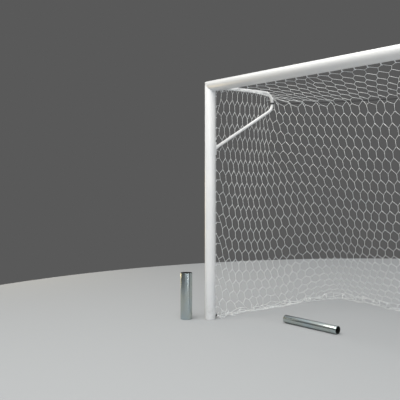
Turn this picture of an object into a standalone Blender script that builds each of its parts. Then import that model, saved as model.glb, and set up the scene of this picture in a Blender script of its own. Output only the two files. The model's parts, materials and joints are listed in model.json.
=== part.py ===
"""Full-size football goal: round aluminium frame, two rear net bows, box net and ground sleeves.

Metres, +Z up. +X runs along the goal line and +Y points back into the net. Every object hangs on
the empty "goal_line", which stands on the ground in the middle of the goal line.
"""

import math

import bmesh
import bpy
from mathutils import Matrix, Vector

# ---- Driving dimensions ---------------------------------------------------------------------

MOUTH_WIDTH = 7.32
MOUTH_HEIGHT = 2.44
GOAL_LINE_Y = -0.94
GAP = 0.0003

FRAME_RADIUS = 0.057
FRAME_WALL = 0.003
FRAME_SIDES = 40
CONNECTOR_WALL = 0.006
CONNECTOR_LEG = 0.18
FOOT_PLUG_HEIGHT = 0.03

BOW_RADIUS = 0.017
BOW_WALL = 0.002
BOW_SIDES = 16
BOW_NOSE_RADIUS = 0.115
BOW_NOSE_Y = 0.81
BOW_FOOT_HEIGHT = 1.835
SOCKET_WALL = 0.0035
SOCKET_LENGTH = 0.05

BRACKET_FACE = 0.065
TOP_BRACKET_HALF = 0.036
LOWER_BRACKET_HALF = (0.026, 0.068)

BOLT_SHANK_RADIUS = 0.004
BOLT_SHANK_LENGTH = 0.024
BOLT_HEAD_RADIUS = 0.008
BOLT_HEAD_HEIGHT = 0.005
SET_SCREW_RADIUS = 0.005
SET_SCREW_LENGTH = 0.012

TIE_WIDTH = 0.018
TIE_THICKNESS = 0.004
ROPE_RADIUS = 0.004
ROPE_SAG = 0.174
ROPE_BOW = 0.15
ROPE_POINTS = 41

NET_THICKNESS = 0.002
NET_DEPTH_AT_FLOOR = 2.09
NET_SIDE_OFFSET = 0.04
NET_FRONT_Y = 0.10
NET_BELLY = 0.10
SKIRT_WIDTH = 0.12
SKIRT_THICKNESS = 0.006

RAIL_WIDTH = 0.010
RAIL_THICKNESS = 0.004
HOOK_REACH = 0.024
HOOK_BAR = 0.004
HOOK_LIP = 0.010
POST_HOOK_PITCH = 0.114
CROSSBAR_HOOK_PITCH = 0.132
CROSSBAR_RAIL_ANGLE = math.radians(60)

SLEEVE_RADIUS = 0.0635
SLEEVE_WALL = 0.003
SLEEVE_HEIGHT = 0.50
SLEEVE_PLACE = (3.876, -0.202)
SPARE_TUBE_RADIUS = 0.04125
SPARE_TUBE_LENGTH = 0.67
SPARE_TUBE_PLACE = (2.754, 0.528)
SPARE_TUBE_TURN = math.radians(3)

POST_X = MOUTH_WIDTH / 2 + FRAME_RADIUS
BAR_Z = MOUTH_HEIGHT + FRAME_RADIUS
TIP_Y = BOW_NOSE_Y + BOW_NOSE_RADIUS
TIP_Z = BAR_Z - BOW_NOSE_RADIUS
SIDES = {"left": -1, "right": 1}


# ---- Scene and material helpers ---------------------------------------------------------------

def clear_scene():
    for old in list(bpy.data.objects):
        bpy.data.objects.remove(old, do_unlink=True)


def make_material(name, colour, roughness, metallic):
    material = bpy.data.materials.new(name)
    material.use_nodes = True
    shader = material.node_tree.nodes["Principled BSDF"]
    shader.inputs["Base Color"].default_value = (*colour, 1.0)
    shader.inputs["Roughness"].default_value = roughness
    shader.inputs["Metallic"].default_value = metallic
    return material


def place(thing, location=(0, 0, 0)):
    """Link an object into the scene and hang it on the goal line's empty."""
    bpy.context.collection.objects.link(thing)
    thing.parent = goal_line
    thing.location = location
    return thing


def add_part(name, mesh_builder, material, location=(0, 0, 0), sharp_angle=40):
    """Turn a bmesh into one named, closed, outward-facing object."""
    bmesh.ops.recalc_face_normals(mesh_builder, faces=mesh_builder.faces)
    mesh = bpy.data.meshes.new(name)
    mesh_builder.to_mesh(mesh)
    mesh_builder.free()
    mesh.shade_smooth()
    mesh.set_sharp_from_angle(angle=math.radians(sharp_angle))
    mesh.materials.append(material)
    return place(bpy.data.objects.new(name, mesh), location)


def add_cutter(name, mesh_builder, location=(0, 0, 0)):
    """A helper body for Boolean modifiers, which isn't a part itself."""
    bmesh.ops.recalc_face_normals(mesh_builder, faces=mesh_builder.faces)
    mesh = bpy.data.meshes.new(name)
    mesh_builder.to_mesh(mesh)
    mesh_builder.free()
    cutter = place(bpy.data.objects.new(name, mesh), location)
    cutter.hide_render = True
    cutter.display_type = "WIRE"
    return cutter


def combine(part, other, operation):
    modifier = part.modifiers.new(f"{operation.lower()} {other.name}", "BOOLEAN")
    modifier.object = other
    modifier.operation = operation
    modifier.solver = "EXACT"


# ---- Mesh helpers -----------------------------------------------------------------------------

def circle(radius, sides):
    """Points of a circle in the XY plane, as (x, y)."""
    steps = [2 * math.pi * step / sides for step in range(sides)]
    return [(radius * math.cos(angle), radius * math.sin(angle)) for angle in steps]


def bridge(mesh_builder, ring_a, ring_b):
    count = len(ring_a)
    for here in range(count):
        there = (here + 1) % count
        mesh_builder.faces.new((ring_a[here], ring_a[there], ring_b[there], ring_b[here]))


def skin_rings(rings, capped):
    """Join rings of points into one body: capped at both ends, or closed back onto the first."""
    mesh_builder = bmesh.new()
    rows = [[mesh_builder.verts.new(point) for point in ring] for ring in rings]
    for row_a, row_b in zip(rows, rows[1:]):
        bridge(mesh_builder, row_a, row_b)
    if capped:
        mesh_builder.faces.new(rows[0])
        mesh_builder.faces.new(rows[-1])
    else:
        bridge(mesh_builder, rows[-1], rows[0])
    return mesh_builder


def pipe(outer, wall, low_end, high_end, sides=FRAME_SIDES):
    """Pipe along Z. Each end is a function of (x, y), so it can be cut square or on the slant."""
    outside = circle(outer, sides)
    inside = circle(outer - wall, sides)
    rings = [
        [(x, y, low_end(x, y)) for x, y in outside],
        [(x, y, high_end(x, y)) for x, y in outside],
        [(x, y, high_end(x, y)) for x, y in inside],
        [(x, y, low_end(x, y)) for x, y in inside],
    ]
    return skin_rings(rings, capped=False)


def rod(radius, low, high, sides):
    rings = [[(x, y, z) for x, y in circle(radius, sides)] for z in (low, high)]
    return skin_rings(rings, capped=True)


def turned(profile, sides):
    """Body of revolution about Z. The profile's (radius, z) points start and end in flat discs."""
    rings = [[(x, y, z) for x, y in circle(radius, sides)] for radius, z in profile]
    return skin_rings(rings, capped=True)


def rotated(mesh_builder, matrix):
    bmesh.ops.transform(mesh_builder, matrix=matrix, verts=mesh_builder.verts)
    return mesh_builder


def block(low, high):
    mesh_builder = bmesh.new()
    bmesh.ops.create_cube(mesh_builder, size=1.0)
    for vertex in mesh_builder.verts:
        shares = [coordinate + 0.5 for coordinate in vertex.co]
        vertex.co = Vector(a + (b - a) * share for a, b, share in zip(low, high, shares))
    return mesh_builder


def extruded(outline, thickness):
    """Prism on an (x, y) outline, from z = -thickness / 2 to z = +thickness / 2."""
    levels = (-thickness / 2, thickness / 2)
    rings = [[(x, y, z) for x, y in outline] for z in levels]
    return skin_rings(rings, capped=True)


def add_sheet(name, surface, columns, rows, material):
    """Thin closed panel on the surface(s, t) -> point, with s and t running from 0 to 1."""
    mesh_builder = bmesh.new()
    grid = [
        [mesh_builder.verts.new(surface(i / columns, j / rows)) for i in range(columns + 1)]
        for j in range(rows + 1)
    ]
    for low, high in zip(grid, grid[1:]):
        for i in range(columns):
            mesh_builder.faces.new((low[i], low[i + 1], high[i + 1], high[i]))
    panel = add_part(name, mesh_builder, material)
    solidify = panel.modifiers.new("cord thickness", "SOLIDIFY")
    solidify.thickness = NET_THICKNESS
    solidify.offset = 0.0
    return panel


# ---- Frame ------------------------------------------------------------------------------------

def add_post(name, side):
    """Post with a flat foot and a 45 degree mitre at the top, its origin at its foot."""
    def mitre(x, _):
        return BAR_Z + side * x - GAP / 2
    tube = pipe(FRAME_RADIUS, FRAME_WALL, lambda x, y: 0.0, mitre)
    return add_part(name, tube, frame_white, (side * POST_X, 0, 0))


def add_crossbar():
    """Crossbar, mitred at both ends and longest along its top."""
    turn = Matrix.Rotation(math.pi / 2, 4, "Y")

    def half(direction):
        return lambda x, y: direction * (POST_X - x - GAP / 2)
    tube = pipe(FRAME_RADIUS, FRAME_WALL, half(-1), half(1))
    return add_part("crossbar", rotated(tube, turn), frame_white, (0, 0, BAR_Z))


def add_corner_connector(name, side):
    """Cast elbow inside the mitre, one leg down the post and one along the crossbar."""
    outer = FRAME_RADIUS - FRAME_WALL - GAP
    rings = []
    for radius, order in ((outer, 1), (outer - CONNECTOR_WALL, -1)):
        around = circle(radius, FRAME_SIDES)
        post_end = [(x, y, -CONNECTOR_LEG) for x, y in around]
        corner = [(x, y, side * x) for x, y in around]
        bar_end = [(-side * CONNECTOR_LEG, y, side * x) for x, y in around]
        rings += [post_end, corner, bar_end][::order]
    elbow = skin_rings(rings, capped=False)
    return add_part(name, elbow, cast_aluminium, (side * POST_X, 0, BAR_Z))


def add_foot_plug(name, side):
    """Plastic plug that closes the post's foot, flush with its end."""
    radius = FRAME_RADIUS - FRAME_WALL - GAP
    chamfer = 0.003
    profile = [(radius, 0.0), (radius, FOOT_PLUG_HEIGHT - chamfer), (radius - chamfer, FOOT_PLUG_HEIGHT)]
    plug = turned(profile, FRAME_SIDES)
    return add_part(name, plug, black_plastic, (side * POST_X, 0, 0))


# ---- Net bows and their brackets ----------------------------------------------------------------

def bow_leg_angle():
    """Slope of the lower leg, which runs from the post to a tangent on the nose's arc."""
    reach = BOW_NOSE_Y - FRAME_RADIUS
    rise = TIP_Z - BOW_FOOT_HEIGHT
    distance = math.hypot(reach, rise)
    return math.atan2(rise, reach) - math.asin(BOW_NOSE_RADIUS / distance)


def bow_route():
    """Centre line of a bow in the (y, z) plane: top leg, round nose, straight lower leg."""
    slope = bow_leg_angle()
    nose_steps = 14
    turn = math.pi - slope
    top_start = BRACKET_FACE + 0.004
    foot_start = 0.016
    route = [(top_start, BAR_Z)]
    for step in range(nose_steps + 1):
        angle = math.pi / 2 - turn * step / nose_steps
        y = BOW_NOSE_Y + BOW_NOSE_RADIUS * math.cos(angle)
        z = TIP_Z + BOW_NOSE_RADIUS * math.sin(angle)
        route.append((y, z))
    foot_y = FRAME_RADIUS + foot_start * math.cos(slope)
    foot_z = BOW_FOOT_HEIGHT + foot_start * math.sin(slope)
    route.append((foot_y, foot_z))
    return route


def add_bow(name, side):
    """Bent tube with open ends, swept along its centre line in the post's plane."""
    route = bow_route()
    outer_rings = []
    inner_rings = []
    for index, (y, z) in enumerate(route):
        before = route[max(index - 1, 0)]
        after = route[min(index + 1, len(route) - 1)]
        along = Vector((0, after[0] - before[0], after[1] - before[1])).normalized()
        across = along.cross(Vector((1, 0, 0)))
        for radius, rings in ((BOW_RADIUS, outer_rings), (BOW_RADIUS - BOW_WALL, inner_rings)):
            around = circle(radius, BOW_SIDES)
            rings.append([(a, y + b * across.y, z + b * across.z) for a, b in around])
    tube = skin_rings(outer_rings + inner_rings[::-1], capped=False)
    return add_part(name, tube, frame_white, (side * POST_X, 0, 0))


def leg_matrix(height, slope):
    """Frame whose Z runs out along a bow leg, from the frame tube's rear line."""
    return Matrix.Translation((0, FRAME_RADIUS, height)) @ Matrix.Rotation(slope - math.pi / 2, 4, "X")


def add_bracket(name, side, height, half_width, half_height, slope, hold, bore_start, bolts):
    """Clamp block on the back of the frame, with a socket that the bow's end sits in."""
    low = (-half_width, FRAME_RADIUS * 0.6, height - half_height)
    high = (half_width, BRACKET_FACE, height + half_height)
    body = add_part(name, block(low, high), frame_white, (side * POST_X, 0, 0))
    leg = leg_matrix(height, slope)
    socket = rod(BOW_RADIUS + GAP + SOCKET_WALL, -0.01, SOCKET_LENGTH, 24)
    combine(body, add_cutter(f"{name}_socket", rotated(socket, leg), (side * POST_X, 0, 0)), "UNION")
    for cutter in hold:
        combine(body, cutter, "DIFFERENCE")
    bore = rod(BOW_RADIUS + GAP, bore_start, SOCKET_LENGTH + 0.01, BOW_SIDES)
    combine(body, add_cutter(f"{name}_bore", rotated(bore, leg), (side * POST_X, 0, 0)), "DIFFERENCE")
    for hole in bolts:
        combine(body, hole, "DIFFERENCE")
    return body


def button_bolt():
    """Button-head bolt with a round driver recess, its head's seat at z = 0."""
    recess_radius = 0.003
    recess_depth = 0.003
    rim = 0.6 * BOLT_HEAD_RADIUS
    profile = [
        (recess_radius, BOLT_HEAD_HEIGHT - recess_depth),
        (recess_radius, BOLT_HEAD_HEIGHT),
        (rim, BOLT_HEAD_HEIGHT),
        (BOLT_HEAD_RADIUS, BOLT_HEAD_HEIGHT * 0.4),
        (BOLT_HEAD_RADIUS, 0.0),
        (BOLT_SHANK_RADIUS, 0.0),
        (BOLT_SHANK_RADIUS, -BOLT_SHANK_LENGTH),
    ]
    return turned(profile, 12)


def set_screw():
    """Headless corner screw with a round driver recess, its outer end at z = 0."""
    recess_radius = 0.0025
    recess_depth = 0.003
    profile = [
        (recess_radius, -recess_depth),
        (recess_radius, 0.0),
        (SET_SCREW_RADIUS, 0.0),
        (SET_SCREW_RADIUS, -SET_SCREW_LENGTH),
    ]
    return turned(profile, 12)


def facing_back(mesh_builder):
    """Turn a body's +Z to the goal's +Y."""
    return rotated(mesh_builder, Matrix.Rotation(-math.pi / 2, 4, "X"))


def add_fastener(name, mesh_builder, radius, length, location):
    """Place one screw facing backwards, and return the clearance cutter for its hole."""
    add_part(name, facing_back(mesh_builder), galvanised, location)
    hole = facing_back(rod(radius + GAP, -length - 0.001, 0.02, 16))
    return add_cutter(f"{name}_hole", hole, location)


# ---- Rope, ties, rails and hooks ------------------------------------------------------------------

def rope_slack(x):
    """Share of the rope's full offset: 0 at the bow tips and 1 in the middle."""
    share = x / POST_X
    return 1 - share * share


def rope_height(x):
    """The net's weight pulls the rope down between the two bow tips."""
    return TIP_Z - ROPE_SAG * rope_slack(x)


def rope_depth(x):
    """The net's roof pulls the rope forwards between the two bow tips."""
    return TIP_Y - ROPE_BOW * rope_slack(x)


def add_rope():
    half_span = POST_X - BOW_RADIUS - 0.0012 - TIE_THICKNESS - GAP
    curve = bpy.data.curves.new("net_rope", "CURVE")
    curve.dimensions = "3D"
    curve.bevel_depth = ROPE_RADIUS
    curve.bevel_resolution = 2
    curve.use_fill_caps = True
    spline = curve.splines.new("POLY")
    spline.points.add(ROPE_POINTS - 1)
    for index, point in enumerate(spline.points):
        x = half_span * (2 * index / (ROPE_POINTS - 1) - 1)
        point.co = (x, rope_depth(x), rope_height(x), 1.0)
    curve.materials.append(black_rope)
    return place(bpy.data.objects.new("net_rope", curve))


def add_bow_tie(name, side):
    """Band that ties the rope and the net to the bow's tip."""
    inner = BOW_RADIUS + 0.0012
    half = TIE_WIDTH / 2
    band = pipe(inner + TIE_THICKNESS, TIE_THICKNESS, lambda x, y: -half, lambda x, y: half, BOW_SIDES)
    return add_part(name, band, black_plastic, (side * POST_X, TIP_Y, TIP_Z))


def hook_strip(start, end, pitch, first):
    """Comb outline in the (x, y) plane: a strip along x with L-shaped hooks standing up in y."""
    outline = [(start, 0.0), (start, RAIL_THICKNESS)]
    top = RAIL_THICKNESS + HOOK_REACH
    centre = first
    while centre < end - HOOK_LIP - HOOK_BAR:
        outline += [
            (centre - HOOK_BAR / 2, RAIL_THICKNESS),
            (centre - HOOK_BAR / 2, top),
            (centre + HOOK_BAR / 2 + HOOK_LIP, top),
            (centre + HOOK_BAR / 2 + HOOK_LIP, top - HOOK_BAR),
            (centre + HOOK_BAR / 2, top - HOOK_BAR),
            (centre + HOOK_BAR / 2, RAIL_THICKNESS),
        ]
        centre += pitch
    outline += [(end, RAIL_THICKNESS), (end, 0.0)]
    return extruded(outline, RAIL_WIDTH)


def add_post_rail(name, side, low, high):
    """Hook rail up the back of a post; its hooks' lips point up."""
    first = POST_HOOK_PITCH * math.ceil((low + 0.01) / POST_HOOK_PITCH)
    strip = hook_strip(low, high, POST_HOOK_PITCH, first)
    upright = Matrix(((0, 0, 1, 0), (0, 1, 0, 0), (1, 0, 0, 0), (0, 0, 0, 1)))
    seat = FRAME_RADIUS + GAP
    return add_part(name, rotated(strip, upright), white_plastic, (side * POST_X, seat, 0))


def add_crossbar_rail():
    """Hook rail along the crossbar's lower back, from corner to corner."""
    half = MOUTH_WIDTH / 2 - 0.02
    count = int(half / CROSSBAR_HOOK_PITCH)
    strip = hook_strip(-half, half, CROSSBAR_HOOK_PITCH, -count * CROSSBAR_HOOK_PITCH)
    turn = Matrix.Rotation(-CROSSBAR_RAIL_ANGLE, 4, "X")
    seat = FRAME_RADIUS + GAP
    place_at = (0, seat * math.cos(CROSSBAR_RAIL_ANGLE), BAR_Z - seat * math.sin(CROSSBAR_RAIL_ANGLE))
    return add_part("crossbar_net_rail", rotated(strip, turn), white_plastic, place_at)


def add_foot_hook(name, side):
    """Small black hook behind the post's foot, which holds the net down."""
    reach = 0.034
    bar = 0.009
    lip = 0.016
    outline = [(0, 0), (reach, 0), (reach, bar + lip), (reach - bar, bar + lip), (reach - bar, bar), (0, bar)]
    hook = rotated(extruded(outline, 0.012), Matrix.Rotation(math.pi / 2, 4, "X"))
    hook = rotated(hook, Matrix.Rotation(math.pi / 2, 4, "Z"))
    return add_part(name, hook, black_plastic, (side * POST_X, FRAME_RADIUS + GAP, 0.016))


# ---- Net --------------------------------------------------------------------------------------

def back_profile(share):
    """(y, z) on the back panel, from the rope at 0 to the floor at 1, bellied by its own weight."""
    start = (TIP_Y + 0.03, TIP_Z - 0.012)
    end = (NET_DEPTH_AT_FLOOR, SKIRT_THICKNESS + 0.003)
    sag = NET_BELLY * 4 * share * (1 - share)
    y = start[0] + (end[0] - start[0]) * share - sag * 0.7
    z = start[1] + (end[1] - start[1]) * share - sag * 0.4
    return y, z


def add_net_panels():
    half = POST_X + NET_SIDE_OFFSET
    rim = 0.012
    roof_half = POST_X - 0.035

    def roof(s, t):
        x = roof_half * (2 * s - 1)
        front_z = BAR_Z - 0.075
        rear_y = rope_depth(x) - 0.02
        rear_z = rope_height(x) + 0.01
        return (x, NET_FRONT_Y + (rear_y - NET_FRONT_Y) * t, front_z + (rear_z - front_z) * t)

    def back(s, t):
        x = (half - rim) * (2 * s - 1)
        y, z = back_profile(t)
        slack = max(rope_slack(x), 0.0) * (1 - t)
        return (x, y - ROPE_BOW * slack, z - ROPE_SAG * slack)

    add_sheet("net_roof", roof, 12, 1, net_white)
    add_sheet("net_back", back, 12, 8, net_white)
    for label, side in SIDES.items():
        def wall(s, t, side=side):
            front_z = (BAR_Z - 0.075) * (1 - t) + (SKIRT_THICKNESS + 0.003) * t
            rear_y, rear_z = back_profile(t)
            y = NET_FRONT_Y + (rear_y - NET_FRONT_Y) * s
            return (side * half, y, front_z + (rear_z - front_z) * s)
        add_sheet(f"net_{label}_side", wall, 2, 8, net_white)


def add_net_skirts():
    """Bottom rows of the net, gathered flat on the ground along the two sides and the back."""
    half = POST_X + NET_SIDE_OFFSET
    inner = half - SKIRT_WIDTH / 2
    outer = half + SKIRT_WIDTH / 2
    rear = NET_DEPTH_AT_FLOOR - SKIRT_WIDTH / 2
    front = 0.12
    for label, side in SIDES.items():
        low_x, high_x = sorted((side * inner, side * outer))
        strip = block((low_x, front, 0), (high_x, rear - GAP, SKIRT_THICKNESS))
        add_part(f"net_{label}_skirt", strip, net_white)
    back_strip = block((-outer, rear, 0), (outer, rear + SKIRT_WIDTH, SKIRT_THICKNESS))
    add_part("net_back_skirt", back_strip, net_white)


# ---- Ground sleeves and spare tubes -----------------------------------------------------------------

def add_ground_sleeve(name, side):
    """Socket that takes the post in the ground: open at the top, closed by a base plate."""
    base = 0.005
    chamfer = 0.004
    inner = SLEEVE_RADIUS - SLEEVE_WALL
    profile = [
        (SLEEVE_RADIUS - chamfer, 0.0),
        (SLEEVE_RADIUS, chamfer),
        (SLEEVE_RADIUS, SLEEVE_HEIGHT),
        (inner, SLEEVE_HEIGHT),
        (inner, base),
    ]
    x, y = SLEEVE_PLACE
    return add_part(name, turned(profile, FRAME_SIDES), galvanised, (side * x, y, 0))


def add_spare_tube(name, side):
    """Thinner open tube that lies on the ground, its inner end a little further back."""
    half = SPARE_TUBE_LENGTH / 2
    tube = pipe(SPARE_TUBE_RADIUS, SLEEVE_WALL, lambda x, y: -half, lambda x, y: half, 32)
    aim = Matrix.Rotation(-side * SPARE_TUBE_TURN, 4, "Z")
    turn = aim @ Matrix.Rotation(math.pi / 2, 4, "Y")
    x, y = SPARE_TUBE_PLACE
    lowest = SPARE_TUBE_RADIUS
    return add_part(name, rotated(tube, turn), galvanised, (side * x, y, lowest))


# ---- Assembly -----------------------------------------------------------------------------------

clear_scene()

frame_white = make_material("frame_white", (0.84, 0.86, 0.88), 0.35, 0.0)
cast_aluminium = make_material("cast_aluminium", (0.62, 0.63, 0.65), 0.45, 0.9)
galvanised = make_material("galvanised", (0.50, 0.56, 0.58), 0.42, 0.85)
white_plastic = make_material("white_plastic", (0.82, 0.84, 0.86), 0.5, 0.0)
black_plastic = make_material("black_plastic", (0.03, 0.03, 0.035), 0.5, 0.0)
black_rope = make_material("black_rope", (0.02, 0.025, 0.03), 0.8, 0.0)
net_white = make_material("net_white", (0.80, 0.84, 0.87), 0.7, 0.0)

goal_line = bpy.data.objects.new("goal_line", None)
bpy.context.collection.objects.link(goal_line)
goal_line.location = (0, GOAL_LINE_Y, 0)

crossbar = add_crossbar()
bar_space = rotated(rod(FRAME_RADIUS + GAP, -0.2, 0.2, FRAME_SIDES), Matrix.Rotation(math.pi / 2, 4, "Y"))
post_space = rod(FRAME_RADIUS + GAP, -1.0, 0.2, FRAME_SIDES)
leg_slope = bow_leg_angle()

for label, side in SIDES.items():
    corner = (side * POST_X, 0, BAR_Z)
    post = add_post(f"{label}_post", side)
    connector = add_corner_connector(f"{label}_corner_connector", side)
    add_foot_plug(f"{label}_post_plug", side)
    add_bow(f"{label}_net_bow", side)

    screw_depth = FRAME_RADIUS - 0.0006
    post_screw = add_fastener(f"{label}_post_screw", set_screw(), SET_SCREW_RADIUS, SET_SCREW_LENGTH,
                              (side * POST_X, screw_depth, BAR_Z - 0.12))
    bar_screw = add_fastener(f"{label}_bar_screw", set_screw(), SET_SCREW_RADIUS, SET_SCREW_LENGTH,
                             (side * (POST_X - 0.12), screw_depth, BAR_Z))

    bolt_y = BRACKET_FACE + GAP
    bolt_out = 0.029
    top_bolts = {
        "post": add_fastener(f"{label}_top_bolt_post", button_bolt(), BOLT_SHANK_RADIUS,
                             BOLT_SHANK_LENGTH, (side * POST_X, bolt_y, BAR_Z - bolt_out)),
        "bar": add_fastener(f"{label}_top_bolt_bar", button_bolt(), BOLT_SHANK_RADIUS,
                            BOLT_SHANK_LENGTH, (side * (POST_X - bolt_out), bolt_y, BAR_Z)),
    }
    lower_out = 0.052
    lower_bolts = [
        add_fastener(f"{label}_lower_bolt_{where}", button_bolt(), BOLT_SHANK_RADIUS,
                     BOLT_SHANK_LENGTH, (side * POST_X, bolt_y, BOW_FOOT_HEIGHT + step))
        for where, step in (("top", lower_out), ("bottom", -lower_out))
    ]
    for hole in (post_screw, top_bolts["post"], *lower_bolts):
        combine(post, hole, "DIFFERENCE")
    for hole in (bar_screw, top_bolts["bar"]):
        combine(crossbar, hole, "DIFFERENCE")
    for hole in (post_screw, bar_screw, *top_bolts.values()):
        combine(connector, hole, "DIFFERENCE")

    hold = [
        add_cutter(f"{label}_bar_space", bar_space.copy(), corner),
        add_cutter(f"{label}_post_space", post_space.copy(), corner),
    ]
    add_bracket(f"{label}_top_bracket", side, BAR_Z, TOP_BRACKET_HALF, TOP_BRACKET_HALF,
                0.0, hold, BRACKET_FACE + 0.0035 - FRAME_RADIUS, top_bolts.values())
    add_bracket(f"{label}_lower_bracket", side, BOW_FOOT_HEIGHT, *LOWER_BRACKET_HALF,
                leg_slope, hold[1:], 0.0155, lower_bolts)

    add_bow_tie(f"{label}_bow_tie", side)
    rail_gap = LOWER_BRACKET_HALF[1] + 0.004
    add_post_rail(f"{label}_lower_rail", side, 0.06, BOW_FOOT_HEIGHT - rail_gap)
    add_post_rail(f"{label}_upper_rail", side, BOW_FOOT_HEIGHT + rail_gap, BAR_Z - TOP_BRACKET_HALF - 0.02)
    add_foot_hook(f"{label}_foot_hook", side)
    add_ground_sleeve(f"{label}_ground_sleeve", side)
    add_spare_tube(f"{label}_spare_tube", side)

bar_space.free()
post_space.free()
add_rope()
add_crossbar_rail()
add_net_panels()
add_net_skirts()
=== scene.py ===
"""Looks of the full-size football goal: frame finish, tension rope, hung net, sleeves and studio.

Metres, +Z up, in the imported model's own frame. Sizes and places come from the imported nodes.
"""

import json
import math

import bmesh
import bpy
import numpy as np
from mathutils import Matrix, Vector

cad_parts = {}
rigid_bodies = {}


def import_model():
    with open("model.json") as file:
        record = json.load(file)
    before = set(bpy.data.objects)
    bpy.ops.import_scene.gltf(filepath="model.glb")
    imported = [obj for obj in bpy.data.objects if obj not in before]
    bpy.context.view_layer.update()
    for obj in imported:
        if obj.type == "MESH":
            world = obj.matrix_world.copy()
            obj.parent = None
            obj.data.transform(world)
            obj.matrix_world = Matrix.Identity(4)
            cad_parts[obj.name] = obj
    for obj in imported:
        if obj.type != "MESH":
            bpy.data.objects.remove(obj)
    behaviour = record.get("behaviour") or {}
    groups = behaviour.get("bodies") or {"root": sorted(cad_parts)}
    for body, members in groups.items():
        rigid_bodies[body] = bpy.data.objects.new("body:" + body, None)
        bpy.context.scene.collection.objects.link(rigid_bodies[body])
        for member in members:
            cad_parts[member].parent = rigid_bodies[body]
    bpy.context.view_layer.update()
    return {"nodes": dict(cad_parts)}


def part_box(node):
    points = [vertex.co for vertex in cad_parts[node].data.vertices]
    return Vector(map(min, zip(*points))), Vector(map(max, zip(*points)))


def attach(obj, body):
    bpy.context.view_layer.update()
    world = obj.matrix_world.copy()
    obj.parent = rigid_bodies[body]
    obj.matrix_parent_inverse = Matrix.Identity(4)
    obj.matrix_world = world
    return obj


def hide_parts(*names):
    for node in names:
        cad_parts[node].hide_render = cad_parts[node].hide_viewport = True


for old in list(bpy.data.objects):
    bpy.data.objects.remove(old, do_unlink=True)

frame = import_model()

# ---- Measures read from the frame ----------------------------------------------------------------

POST_LOW, POST_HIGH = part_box("right_post")
POST_X = (POST_LOW.x + POST_HIGH.x) / 2
POST_RADIUS = (POST_HIGH.x - POST_LOW.x) / 2
GOAL_LINE_Y = (POST_LOW.y + POST_HIGH.y) / 2
BAR_LOW, BAR_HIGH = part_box("crossbar")
BAR_Z = (BAR_LOW.z + BAR_HIGH.z) / 2
BOW_LOW, BOW_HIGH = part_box("right_net_bow")
BOW_RADIUS = (BOW_HIGH.x - BOW_LOW.x) / 2
TIE_LOW, TIE_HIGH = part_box("right_bow_tie")
TIP_Y = (TIE_LOW.y + TIE_HIGH.y) / 2
TIP_Z = (TIE_LOW.z + TIE_HIGH.z) / 2
ROPE_LOW, ROPE_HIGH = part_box("net_rope")
BACK_SKIRT_LOW, BACK_SKIRT_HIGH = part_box("net_back_skirt")
BRACKET_LOW, BRACKET_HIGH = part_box("right_lower_bracket")
BRACKET_Z = (BRACKET_LOW.z + BRACKET_HIGH.z) / 2

SIDES = {"left": -1, "right": 1}

# ---- Tube measures -------------------------------------------------------------------------------

TUBE_SIDES = 96
BOW_SIDES = 32
FRAME_WALL = 0.003
BOW_WALL = 0.002
SLEEVE_WALL = 0.003
MITRE_GAP = 0.0004
MITRE_EDGE = 0.0012
BOW_START_GAP = 0.0004
BOW_FOOT_HEIGHT = 1.835
BOW_FOOT_GAP = 0.016
NOSE_STEPS = 40
LEG_STEPS = 6
SLEEVE_FOOT_EDGE = 0.004
SLEEVE_FOOT_EASE = 0.001
SLEEVE_LOWEST_RING = 0.05
SLEEVE_RIM_STEPS = 8
SLEEVE_BASE = 0.005
SPARE_TUBE_TURN = math.radians(3)
SPARE_TUBE_EDGE = 0.0008
BORE_MARGIN = 1e-4
CLOSED_END_RADIUS = 1e-5

# ---- Rope measures -------------------------------------------------------------------------------

ROPE_RADIUS = 0.004
ROPE_SIDES = 12
ROPE_STEPS = 40
ROPE_END_X = ROPE_HIGH.x
ROPE_SAG = TIP_Z - ROPE_LOW.z - ROPE_RADIUS
ROPE_BOW = TIP_Y - ROPE_LOW.y - ROPE_RADIUS

# ---- Net measures: a half is half a column, so that each row of the lattice has two per mesh -----

CORD_RADIUS = 0.0017
CORD_SIDES = 6
KNOT_RADIUS = 0.0027
MESH_SIDE = 0.0693
ROOF_MESH_SIDE = 0.0775
BORDER_SIDE = 0.105
CORD_UNEVENNESS = 0.015
COLUMNS = 70
SIDE_COLUMNS = 12
LACED_COLUMNS = 10
ROOF_ROWS = 6
CURTAIN_ROWS = 25
SIDE_HALVES = 2 * SIDE_COLUMNS
BACK_HALVES = 2 * COLUMNS
LAST_HALF = 2 * SIDE_HALVES + BACK_HALVES
LATTICE_LEAN = 0.25
NET_BELLY = 0.05
SIDE_BELLY_SHARE = 0.3
CURTAIN_END_GAP = 0.03
ROOF_END_GAP = 0.012
NOSE_RUN = 0.16

HOOK_SEAT = 0.079
HOOK_ANGLE = math.radians(60)
HOOK_PITCH = 0.132
HOOK_SIDE_SHIFT = 0.006
POST_HOOK_PITCH = 0.114
UNHOOKED_ROWS = 3
BRACKET_CLEARANCE = 0.09
LOWEST_HOOK = 0.03
CROSSBAR_DRIFT = 0.25

FLOOR_LEVEL = CORD_RADIUS
HEM_BACK_Y = (BACK_SKIRT_LOW.y + BACK_SKIRT_HIGH.y) / 2 + 0.02
HEM_START_Z = 0.01
HEM_LIFT = 0.07
HEM_SCATTER_X = 0.02
HEM_SCATTER_Y = 0.03
SIDE_HEM_ROWS = 5
BACK_HEM_ROWS = 3

HANG_STEPS = 3200
TIME_STEP = 1 / 600
GRAVITY = 9.81
TIE_SHARE = 0.15
AIR_DRAG = 0.995
GROUND_DRAG = 0.2
SET_OF_CORDS = 3e-5
BOW_REACH = 0.02
BOW_LOWEST = 1.7

# ---- Studio measures -----------------------------------------------------------------------------

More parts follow.
